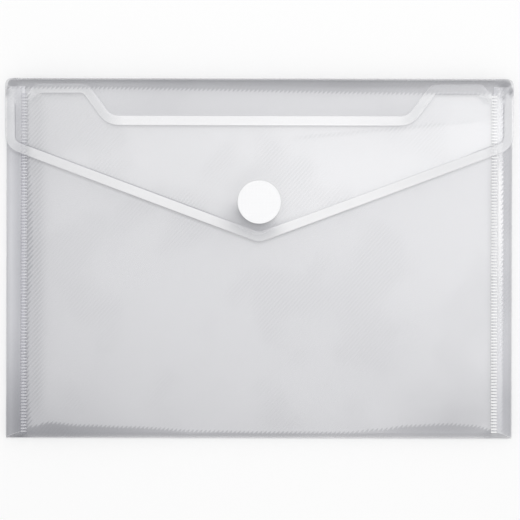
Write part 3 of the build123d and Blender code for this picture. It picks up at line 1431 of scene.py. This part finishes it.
    def height(self, flat: np.ndarray) -> np.ndarray:
        """Shapes the film.

        Args:
            flat: Points seen from above.

        Returns:
            The height of the film's middle at each point.
        """
        s = self.size
        x, y = flat[:, 0], flat[:, 1]
        up = y - s.bottom_y
        total = s.front_z - s.dot_clearance - s.crease_z
        level = s.crease_z + fold_height(up, self.fold_run(x), total, self.tight)
        inward = s.weld_inner_x - np.abs(x)
        free = smoothstep(*self.free_from_fold, up) * smoothstep(*self.free_from_tabs, s.tab_y - y)
        swell = (1 - np.exp(-np.clip(inward, 0, None) / self.swell_run)) * smoothstep(*self.swell_to, inward)
        level += free * np.where(x < 0, self.swell_left, self.swell_right) * swell
        free *= smoothstep(*self.free_from_welds, inward)
        free *= smoothstep(*self.free_from_dot, np.hypot(x, y - s.dot_y))
        level += free * sum(wave.at(flat) for wave in self.waves)
        lip = distance_to_line(flat, self.mouth())
        rim = np.clip(1 - lip / s.rim_width, 0, 1)
        level -= self.rim_drop * rim * smoothstep(*self.rim_drop_from, inward)
        return level - s.groove * bell(lip - s.rim_width, s.groove_width)

    def guides(self) -> list[np.ndarray]:
        """Lines that the mesh follows: along the mouth's rim, across the fold and along its upper edge."""
        s = self.size
        mouth = self.mouth()
        lines = [offset_line(mouth, s.rim_width + row)[RIM_TRIM:-RIM_TRIM] for row in LINE_ROWS]
        half = s.weld_inner_x - self.fold_margin
        lines += fold_rows(s.bottom_y, self.tight, half)
        across = np.arange(-half, half + 0.1, MESH_STEP)
        run = self.fold_run(across)
        for side in Side:
            sloping = (run > self.tight + self.slope_least) & (across * side.value > 0)
            for row in EDGE_ROWS:
                lines.append(np.column_stack((across, s.bottom_y + run + row))[sloping])
        return lines

    def build(self, finish: Material) -> Object:
        """Makes the front panel, in place of the CAD's front panel and bottom fold.

        Args:
            finish: Its material.

        Returns:
            The front panel.
        """
        s = self.size
        film = Film("front_film", self.outline(), self.guides(), self.height, self.zones)
        made = film.build(s.film, finish)
        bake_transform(made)
        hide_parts("front_panel", "bottom_fold_lower", "bottom_fold_upper")
        return made


@dataclass
class BackFilm:
    """The back panel with the lower halves of the bottom fold and of the rounded spine."""

    size: WalletSize
    fold_run: float = 5.0
    foot_run: float = 2.65
    fold_rise: float = 0.6
    side_lap: float = 0.2
    fold_margin: float = 1.0

    def outline(self) -> np.ndarray:
        """The whole outline, anticlockwise from above."""
        s = self.size
        side_x = s.side_x + self.side_lap
        right = [
            (s.half_width, s.bottom_y, 0.0),
            (s.weld_outer_x, s.fold_y, 0.0),
            (side_x, s.fold_y + self.fold_rise, 0.0),
            (side_x, s.ear_y, 0.0),
            (s.half_width, s.ear_y, 0.0),
            (s.half_width, s.top_y, s.corner_radius),
        ]
        return fillet_outline(mirrored(right), closed=True)

    def height(self, flat: np.ndarray) -> np.ndarray:
        """Shapes the film.

        Args:
            flat: Points seen from above.

        Returns:
            The height of the film's middle at each point.
        """
        s = self.size
        y = flat[:, 1]
        top = (s.spine_z - s.back_z) * (1 - quarter((s.top_y - y) / self.fold_run))
        foot = (s.crease_z - s.back_z) * (1 - quarter((y - s.bottom_y) / self.foot_run))
        return s.back_z + top + foot

    def build(self, finish: Material) -> Object:
        """Makes the back panel, in place of the CAD's back panel.

        Args:
            finish: Its material.

        Returns:
            The back panel.
        """
        s = self.size
        half = s.side_x - self.fold_margin
        guides = fold_rows(s.top_y, -self.fold_run, half) + fold_rows(s.bottom_y, self.foot_run, half)
        made = Film("back_film", self.outline(), guides, self.height).build(s.film, finish)
        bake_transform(made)
        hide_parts("back_panel")
        return made


@dataclass
class GussetFilm:
    """A side gusset: two strips of film that meet at an outer crease and fold like bellows."""

    size: WalletSize
    side: Side
    # The section, the distance between its points, where it starts to turn, and the rows of points along it
    crease_x: float = 117.8
    crease_radius: float = 0.2
    flange_z: float = 5.2
    flange_inset: float = 0.4
    shoulder_x: float = 113.2
    shoulder_z: float = 4.85
    shoulder_radius: float = 6.0
    section_step: float = 0.7
    turn_inset: float = 0.2
    rows: int = 72
    # The slanted ends, and a soft wave along the strips
    foot_lift: float = 0.3
    top_slant: float = 3.1
    top_slant_run: float = 5.0
    wave_height: float = 0.12
    wave_run: float = 13.0
    # Painted shade, deeper towards the foot and at the crease, and on the left also all over and towards the
    # weld
    left_marks: tuple[Patch, ...] = (
        Patch(0.28, ((Along.UP, 53.35, 0.0),)),
        Patch(0.18),
        Patch(0.08, ((Along.OUT, 115.5, 113.0),)),
        Patch(0.1, ((Along.OUT, 115.0, 117.4),)),
    )
    right_marks: tuple[Patch, ...] = (
        Patch(0.15, ((Along.UP, 53.35, 0.0),)),
        Patch(0.03),
        Patch(0.22, ((Along.OUT, 115.5, 117.4),)),
    )
    # The right gusset's upper strip has a painted highlight, a milky band, which ends in a painted shade with
    # a ragged edge
    upper: Patch = Patch(1.0, ((Along.Z, 3.2, 3.6),))
    band: Patch = Patch(1.0, ((Along.OUT, 110.2, 111.0), (Along.OUT, 114.6, 113.6), (Along.Y, -75.0, 25.0)))
    band_fade: Patch = Patch(0.6, ((Along.Y, 38.0, 50.0),))
    bend_x: float = 113.0

    def section(self) -> np.ndarray:
        """The gusset's section from the back panel round the crease to the weld, as x and z."""
        s = self.size
        corners = [
            (s.side_x, s.back_z, 0.0),
            (self.crease_x, s.crease_z, self.crease_radius),
            (self.shoulder_x, self.shoulder_z, self.shoulder_radius),
            (s.weld_outer_x - self.flange_inset, self.flange_z, 0.0),
        ]
        return fillet_outline(corners, self.section_step)

    def zones(self, points: np.ndarray) -> np.ndarray:
        """Paints the film.

        Args:
            points: The points of the film's middle.

        Returns:
            Their shares of milky rim with painted highlight, of fold with painted shade, of marks with
            painted shade, and of hatching.
        """
        out, y, z = np.abs(points[:, 0]), points[:, 1], points[:, 2]
        places = {Along.OUT: out, Along.Y: y, Along.Z: z, Along.UP: y - self.size.bottom_y}
        none = np.zeros(len(points))
        # The marks of both gussets are painted shade
        if self.side is Side.LEFT:
            return np.column_stack((none, none, none + paint(self.left_marks, places), none))
        upper = self.upper.at(places)
        # The milky band is a painted highlight, and the fold beyond it a painted shade
        rim = upper * self.band.at(places) * (1 - self.band_fade.at(places))
        fold = upper * fold_zone(self.bend_x - out)
        return np.column_stack((rim, fold, paint(self.right_marks, places), none))

    def points(self, section: np.ndarray, turn: int) -> np.ndarray:
        """Draws the section along the gusset, whose ends are slanted.

        Args:
            section: The section's points.
            turn: The number of the one at the crease.

        Returns:
            The points of the film's middle, row by row for each point of the section.
        """
        s = self.size
        slant = (s.fold_y - s.bottom_y) / (s.half_width - s.weld_outer_x)
        made: list[Corner] = []
        for index, (x, z) in enumerate(section):
            foot = s.fold_y + self.foot_lift - slant * max(0.0, x - s.weld_outer_x)
            head = s.gusset_top_y
            if index > turn:
                head -= self.top_slant * max(0.0, 1 - (x - s.weld_inner_x) / self.top_slant_run)
            height = self.wave_height * math.sin(math.pi * min(1.0, abs(index - turn) / turn))
            for y in np.linspace(foot, head, self.rows):
                wave = height * math.sin(y / self.wave_run + self.side.value)
                made.append((self.side.value * x, y, z + wave))
        return np.array(made)

    def build(self, finish: Material, backing: Material) -> Object:
        """Makes the gusset, in place of the CAD's two gusset halves.

        Args:
            finish: The material of the half that is welded to the front panel.
            backing: The material of the half on the back panel.

        Returns:
            The gusset.
        """
        s = self.size
        section = self.section()
        middle = self.points(section, int(np.argmax(section[:, 0])))
        faces: list[tuple[int, int, int]] = []
        for column in range(len(section) - 1):
            for row in range(self.rows - 1):
                a = column * self.rows + row
                b, c, d = a + self.rows, a + self.rows + 1, a + 1
                faces += [(a, b, c), (a, c, d)]
        triangles = np.array(faces)
        if self.side is Side.RIGHT:
            triangles = triangles[:, ::-1]
        name = f"{self.side.label}_gusset_film"
        mesh = shell_mesh(name, middle, triangles, s.film, self.zones(middle))
        made = add_object(name, mesh, finish, backing)
        for face in made.data.polygons:
            face.material_index = int(face.center.z < s.crease_z * MM)
        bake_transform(made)
        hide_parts(f"{self.side.label}_gusset_back", f"{self.side.label}_gusset_front")
        return made


@dataclass
class WeldSeam:
    """A ribbed weld that joins a gusset to the front panel."""

    size: WalletSize
    side: Side
    rib_pitch: float = 1.4
    rib_width: float = 0.7
    rib_height: float = 0.2
    rib_root: float = 0.1
    rib_inset: float = 0.15
    end_gap: float = 1.0
    foot: float = 1.2
    bottom_z: float = 4.95
    top_z: float = 5.5
    bevel: float = 0.12
    # A radius that leaves no rib out
    everywhere: float = 1000.0

    def build(self, ground: Material, finish: Material) -> Object:
        """Makes the fused strip with its ribs, which rides on the front panel.

        Args:
            ground: The strip's material.
            finish: The ribs' material.

        Returns:
            The weld.
        """
        s = self.size
        name = f"{self.side.label}_weld"
        low_x, high_x = sorted((self.side.value * s.weld_inner_x, self.side.value * s.weld_outer_x))
        low_y = s.fold_y - self.foot
        ends = (low_x, low_y, self.bottom_z), (high_x, s.weld_top_y, self.top_z)
        strip = bar_mesh(f"{name}_strip", *ends, self.bevel)
        half_x, half_y = (high_x - low_x) / 2 - self.rib_inset, self.rib_width / 2
        ends = (-half_x, -half_y, -self.rib_root), (half_x, half_y, self.rib_height)
        rib = bar_mesh(f"{name}_rib", *ends, self.bevel)
        count = int((s.weld_top_y - low_y - self.end_gap) / self.rib_pitch)
        ribs = Scatter(1, count, (0.0, self.rib_pitch), self.everywhere, spin=0.0, shift=0.0, seed=1)
        middle = ((low_x + high_x) / 2, (s.weld_top_y + low_y) / 2, self.top_z)
        copies = ribs.mesh(f"{name}_ribs", rib, finish, middle)
        first_rib = len(strip.polygons)
        joined = join_meshes(name, (strip, copies))
        joined.materials.clear()
        made = add_object(name, joined, ground, finish)
        for face in made.data.polygons:
            face.material_index = int(face.index >= first_rib)
        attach(made, Body.FRONT.value)
        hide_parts(f"{self.side.label}_weld_seam")
        return made


@dataclass
class ClosureDots:
    """The hook dot under the flap and the loop dot on the front panel."""

    size: WalletSize
    loop_base_z: float = 5.7
    loop_pile_z: float = 6.1
    loop_top_z: float = 6.9
    hook_tip_z: float = 7.0
    hook_root_z: float = 7.8
    hook_top_z: float = 8.2
    hook_lap: float = 0.1
    # The discs of tape: the rounding of their edges, the least thickness for it in roundings, and the
    # shares of their radius that have a ring of points
    edge_round: float = 0.16
    edge_share: float = 2.5
    rings: tuple[float, ...] = (0.0, 0.35, 0.7)
    segments: int = 72
    # The hooks: their pitch and wire, the places of stem, bend and tip over hook_tip_z, and the roots' depth
    hook_pitch: float = 1.05
    hook_wire: float = 0.085
    hook_sides: int = 5
    hook_margin: float = 0.7
    hook_stray: float = 0.06
    stem_x: float = -0.18
    stem_z: float = 0.35
    bend: Point = (0.02, 0.3)
    bend_size: Point = (0.2, 0.24)
    bend_turns: tuple[float, ...] = (45.0, 90.0, 135.0)
    tip: Point = (0.24, 0.28)
    root_depth: float = 0.05
    # The loops: their pitch and wire, their width, and how far the wire's middle stays below the pile's top
    loop_pitch: float = 0.75
    loop_wire: float = 0.1
    loop_sides: int = 4
    loop_points: int = 7
    loop_margin: float = 0.6
    loop_stray: float = 0.25
    loop_half_width: float = 0.34
    loop_gap: float = 0.12

    def disc(
        self, name: str, low: float, high: float, finish: Material, body: Body, node: str
    ) -> Object:
        """Makes a disc of tape with rounded edges.

        Args:
            name: The piece's name.
            low: Height of its underside in mm.
            high: Height of its upper side in mm.
            finish: Its material.
            body: The body that it rides on.
            node: The CAD node that it stands for.

        Returns:
            The disc.
        """
        radius = self.size.dot_radius
        soft = min(self.edge_round, (high - low) / self.edge_share)
        # A rounded edge's points, as shares of its rounding in from the side and up from the face
        edge = [(radius - soft * inward, soft * rise) for inward, rise in ((1, 0), (0.3, 0.3), (0, 1))]
        half = [(radius * share, 0.0) for share in self.rings] + edge
        profile = [(reach, low + rise) for reach, rise in half]
        profile += [(reach, high - rise) for reach, rise in reversed(half)]
        mesh = lathe_mesh(name, profile, (0, self.size.dot_y), self.segments)
        made = add_object(name, mesh, finish)
        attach(made, body.value)
        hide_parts(node)
        return made

    def field(
        self, name: str, shape: Mesh, finish: Material, z: float, pitch: float, reach: float, **strays: float
    ) -> Object:
        """Sets a field of small shapes out on a dot.

        Args:
            name: The field's name.
            shape: The small shape.
            finish: Its material.
            z: The field's height in mm.
            pitch: The distance between the shapes in mm.
            reach: The field's radius in mm.
            **strays: The spin, shift and seed of the shapes, as a Scatter has them.

        Returns:
            The field.
        """
        count = int(2 * self.size.dot_radius / pitch) + 1
        scatter = Scatter(count, count, (pitch, pitch), reach, **strays)
        return add_object(name, scatter.mesh(name, shape, finish, (0, self.size.dot_y, z)))

    def hooks(self, finish: Material) -> Object:
        """Makes the field of small hooks that point down from the flap.

        Args:
            finish: Their material.

        Returns:
            The hooks.
        """
        drop = self.hook_root_z - self.hook_tip_z
        path = [(self.stem_x, 0, self.root_depth), (self.stem_x, 0, self.stem_z - drop)]
        for angle in map(math.radians, self.bend_turns):
            x = self.bend[0] - self.bend_size[0] * math.cos(angle)
            path.append((x, 0, self.bend[1] - drop - self.bend_size[1] * math.sin(angle)))
        path.append((self.tip[0], 0, self.tip[1] - drop))
        hook = tube_mesh("hook", path, self.hook_wire, self.hook_sides)
        made = self.field(
            "hook_field",
            hook,
            finish,
            self.hook_root_z,
            self.hook_pitch,
            self.size.dot_radius - self.hook_margin,
            spin=0.0,
            shift=self.hook_stray,
            seed=3,
        )
        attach(made, Body.FLAP.value)
        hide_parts("hook_pins")
        return made

    def loops(self, finish: Material) -> Object:
        """Makes the pile of small loops that stands on the front panel.

        Args:
            finish: Their material.

        Returns:
            The loops.
        """
        rise = self.loop_top_z - self.loop_pile_z - self.loop_gap
        turns = np.linspace(0, math.pi, self.loop_points)
        path = [(-self.loop_half_width * math.cos(turn), 0, rise * math.sin(turn)) for turn in turns]
        loop = tube_mesh("loop", path, self.loop_wire, self.loop_sides)
        made = self.field(
            "loop_field",
            loop,
            finish,
            self.loop_pile_z,
            self.loop_pitch,
            self.size.dot_radius - self.loop_margin,
            spin=360.0,
            shift=self.loop_stray,
            seed=8,
        )
        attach(made, Body.FRONT.value)
        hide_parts("loop_pile")
        return made

    def build(self, tape: Material, pile: Material, hook: Material, glue: Material) -> list[Object]:
        """Makes both dots.

        Args:
            tape: The woven tape's material.
            pile: The loops' material.
            hook: The hooks' material.
            glue: The adhesive's material.

        Returns:
            The pieces.
        """
        root_z = self.hook_root_z - self.hook_lap
        pieces = [
            self.disc("hook_tape", root_z, self.hook_top_z, tape, Body.FLAP, "hook_base"),
            self.disc("loop_tape", self.loop_base_z, self.loop_pile_z, tape, Body.FRONT, "loop_base"),
            self.hooks(hook),
            self.loops(pile),
        ]
        for node in ("hook_adhesive", "loop_adhesive"):
            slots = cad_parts[node].data.materials
            slots.clear()
            slots.append(glue)
        return pieces


# The studio


@dataclass(frozen=True)
class Panel:
    """A light panel that faces a point.

    Args:
        name: The lamp's name.
        place: Its place in metres.
        aim: The point that it faces, in metres.
        size: Its width and height in metres.
        glow: How bright its face looks.
        shines: Whether it shows in reflections.
        lights: Whether it lights matt surfaces.
    """

    name: str
    place: tuple[float, float, float]
    aim: tuple[float, float, float]
    size: Point
    glow: float
    shines: bool = True
    lights: bool = True

    def build(self) -> Object:
        """Makes the lamp."""
        lamp = bpy.data.lights.new(self.name, "AREA")
        lamp.shape = "RECTANGLE"
        lamp.size, lamp.size_y = self.size
        # A lamp's watts spread over its face, so a larger panel needs more of them to glow alike
        lamp.energy = 4 * self.size[0] * self.size[1] * self.glow
        made = bpy.data.objects.new(self.name, lamp)
        bpy.context.scene.collection.objects.link(made)
        made.visible_glossy = self.shines
        made.visible_diffuse = self.lights
        made.location = self.place
        made.rotation_euler = (Vector(self.aim) - Vector(self.place)).to_track_quat("-Z", "Y").to_euler()
        return made


@dataclass(frozen=True)
class Grade:
    """A smooth change of brightness across a light panel, from one share of its side to another.

    Args:
        along: X across the panel or Y up it.
        start: Where the change starts, as a share of the side.
        end: Where it ends.
        low: Brightness at the start.
        high: Brightness at the end.
    """

    along: Along
    start: float
    end: float
    low: float
    high: float


def grade_panel(lamp: Object, grades: Sequence[Grade]) -> None:
    """Gives a light panel its grades of brightness, which multiply.

    Args:
        lamp: The panel.
        grades: Its grades.
    """
    lamp.data.use_nodes = True
    tree = lamp.data.node_tree
    spot = add_node(tree, "ShaderNodeNewGeometry").outputs["Parametric"]
    place = add_node(tree, "ShaderNodeSeparateXYZ", Vector=spot)
    strength: Node | float = 1.0
    for grade in grades:
        ramp = add_node(
            tree,
            "ShaderNodeMapRange",
            SMOOTH,
            Value=place.outputs[grade.along.name],
            From_Min=grade.start,
            From_Max=grade.end,
            To_Min=grade.low,
            To_Max=grade.high,
        )
        strength = add_node(tree, "ShaderNodeMath", {"operation": "MULTIPLY"}, {0: strength, 1: ramp})
    tree.links.new(strength.outputs[0], tree.nodes["Emission"].inputs["Strength"])


@dataclass
class Studio:
    """White card, soft lights and a camera straight above the wallet. Places and sizes are in metres."""

    # The camera: its height, the width that it sees at a height over the card, its middle and roll in degrees
    camera_height: float = 0.9
    view_width: float = 0.2415
    view_z: float = 0.004
    centre: Point = (0.0004, -0.0008)
    roll: float = 0.13
    sensor: float = 36.0
    # The lights: how bright they are, and their places and sizes
    sky: float = 0.64
    key: float = 51.0
    key_place: tuple[float, float, float] = (0.06, 0.2, 1.5)
    key_size: Point = (0.2, 0.2)
    veil: float = 3.05
    veil_place: tuple[float, float, float] = (0.265, 0.06, 1.3)
    veil_size: Point = (1.37, 0.72)
    veil_grades: tuple[Grade, ...] = (
        Grade(Along.X, 0.05, 0.7, 0.5, 1.0),
        Grade(Along.Y, 0.05, 0.45, 0.25, 1.0),
        Grade(Along.Y, 0.62, 0.645, 1.0, 0.9),
    )
    floor_colour: str = "#FEFEFE"
    floor_size: float = 4.0
    floor_parts: int = 8
    floor_drop: float = 0.0002

    def floor(self) -> Object:
        """Makes the card."""
        shape = bmesh.new()
        parts = self.floor_parts
        bmesh.ops.create_grid(shape, x_segments=parts, y_segments=parts, size=self.floor_size)
        finish = FloorFinish("white_card", self.floor_colour).build()
        made = add_object("card", close_shape("card", shape), finish)
        made.location.z = -self.floor_drop
        return made

    def lights(self) -> None:
        """Makes the sky, the key light and the broad panel that the film mirrors as a pale veil."""
        world = bpy.data.worlds.new("studio")
        bpy.context.scene.world = world
        world.use_nodes = True
        sky = world.node_tree.nodes["Background"]
        sky.inputs["Color"].default_value = (1, 1, 1, 1)
        sky.inputs["Strength"].default_value = self.sky
        Panel("key", self.key_place, (0, 0, 0), self.key_size, self.key, shines=False).build()
        below = (*self.veil_place[:2], 0)
        veil = Panel("veil", self.veil_place, below, self.veil_size, self.veil, lights=False).build()
        grade_panel(veil, self.veil_grades)

    def camera(self) -> Object:
        """Makes the camera over the wallet."""
        lens = bpy.data.cameras.new("camera")
        lens.sensor_width = self.sensor
        lens.lens = self.sensor * (self.camera_height - self.view_z) / self.view_width
        made = bpy.data.objects.new("camera", lens)
        bpy.context.scene.collection.objects.link(made)
        made.location = (*self.centre, self.camera_height)
        made.rotation_euler = (0, 0, math.radians(self.roll))
        bpy.context.scene.camera = made
        return made

    def build(self) -> None:
        """Makes the whole studio."""
        self.floor()
        self.lights()
        self.camera()
        scene = bpy.context.scene
        scene.view_settings.view_transform = "Standard"
        # Light crosses up to a dozen faces of clear film on its way to the card, and as many on its way back,
        # and paths that are given up between the faces make the film grainy
        scene.cycles.transparent_max_bounces = 40
        scene.cycles.min_transparent_bounces = 32
        scene.cycles.min_light_bounces = 4


def report(made: Object) -> None:
    """Logs a piece's name and face count."""
    log.info("%s: %d faces", made.name, len(made.data.polygons))


def weld_finishes(side: Side) -> tuple[Material, Material]:
    """Makes a weld's materials: milky ribs on a darker strip, partly the weld's own look and partly a painted
    highlight and shade of the ribs. The left weld is painted clearer and darker than the right, a painted
    shade, as the light is dimmer on the left.

    Args:
        side: The weld's side.

    Returns:
        The materials of the strip and of the ribs.
    """
    # Painted light and shade: the weld on the brighter right side is milkier and clearer than the left
    on_lit_side = side is Side.RIGHT
    ground = FilmFinish(
        f"{side.label}_weld_ground",
        clear="#FFFFFF" if on_lit_side else "#F2F2F4",
        edge_share=0.2 if on_lit_side else 0.4,
        line_depth=0.002,
    )
    rib = FilmFinish(
        f"{side.label}_weld_rib",
        haze="#FCFCFC" if on_lit_side else "#F4F4F6",
        haze_share=0.9 if on_lit_side else 0.3,
        edge_share=0.3,
        gloss=0.2,
        line_depth=0.002,
    )
    return ground.build(), rib.build()


def main() -> None:
    """Builds the studio and the wallet, in order."""
    logging.basicConfig(level=logging.INFO, format="%(name)s: %(message)s")
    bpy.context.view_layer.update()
    Studio().build()
    size = WalletSize()
    film = FilmFinish("clear_film", gloss=0.28).build()
    # The back film lets through less light than the same film in front, partly a painted shade under the
    # wallet
    backing = FilmFinish("back_film", "#F0F0F1", gloss=0.35).build()
    bellows = FilmFinish("gusset_film", fold_depth=0.05).build()
    lower_bellows = FilmFinish("gusset_back_film", "#FAFAFB", fold_depth=0.05).build()
    tape = TapeFinish("woven_tape", "#F6F6F7", "#E9E9EC", 0.5, 0.03, 0.2).build()
    pile = TapeFinish("loop_yarn", "#F3F3F5", "#DFE0E4", 0.3, 0.02, 0.4).build()
    hook = TapeFinish("hook_nylon", "#F0F0F3", "#E2E3E7", 0.4, 0.01, 0.1).build()
    # The clear adhesive takes on the white of the tape, and a trace of its weave
    glue = TapeFinish("clear_adhesive", "#F0F0F1", "#ECECED", 1.6, 0.004, 0.0).build()
    report(BackFilm(size).build(backing))
    report(FrontFilm(size).build(film))
    for side in Side:
        report(GussetFilm(size, side).build(bellows, lower_bellows))
        report(WeldSeam(size, side).build(*weld_finishes(side)))
    for piece in ClosureDots(size).build(tape, pile, hook, glue):
        report(piece)
    report(FlapFilm(size).build(film))


if __name__ == "__main__":
    main()
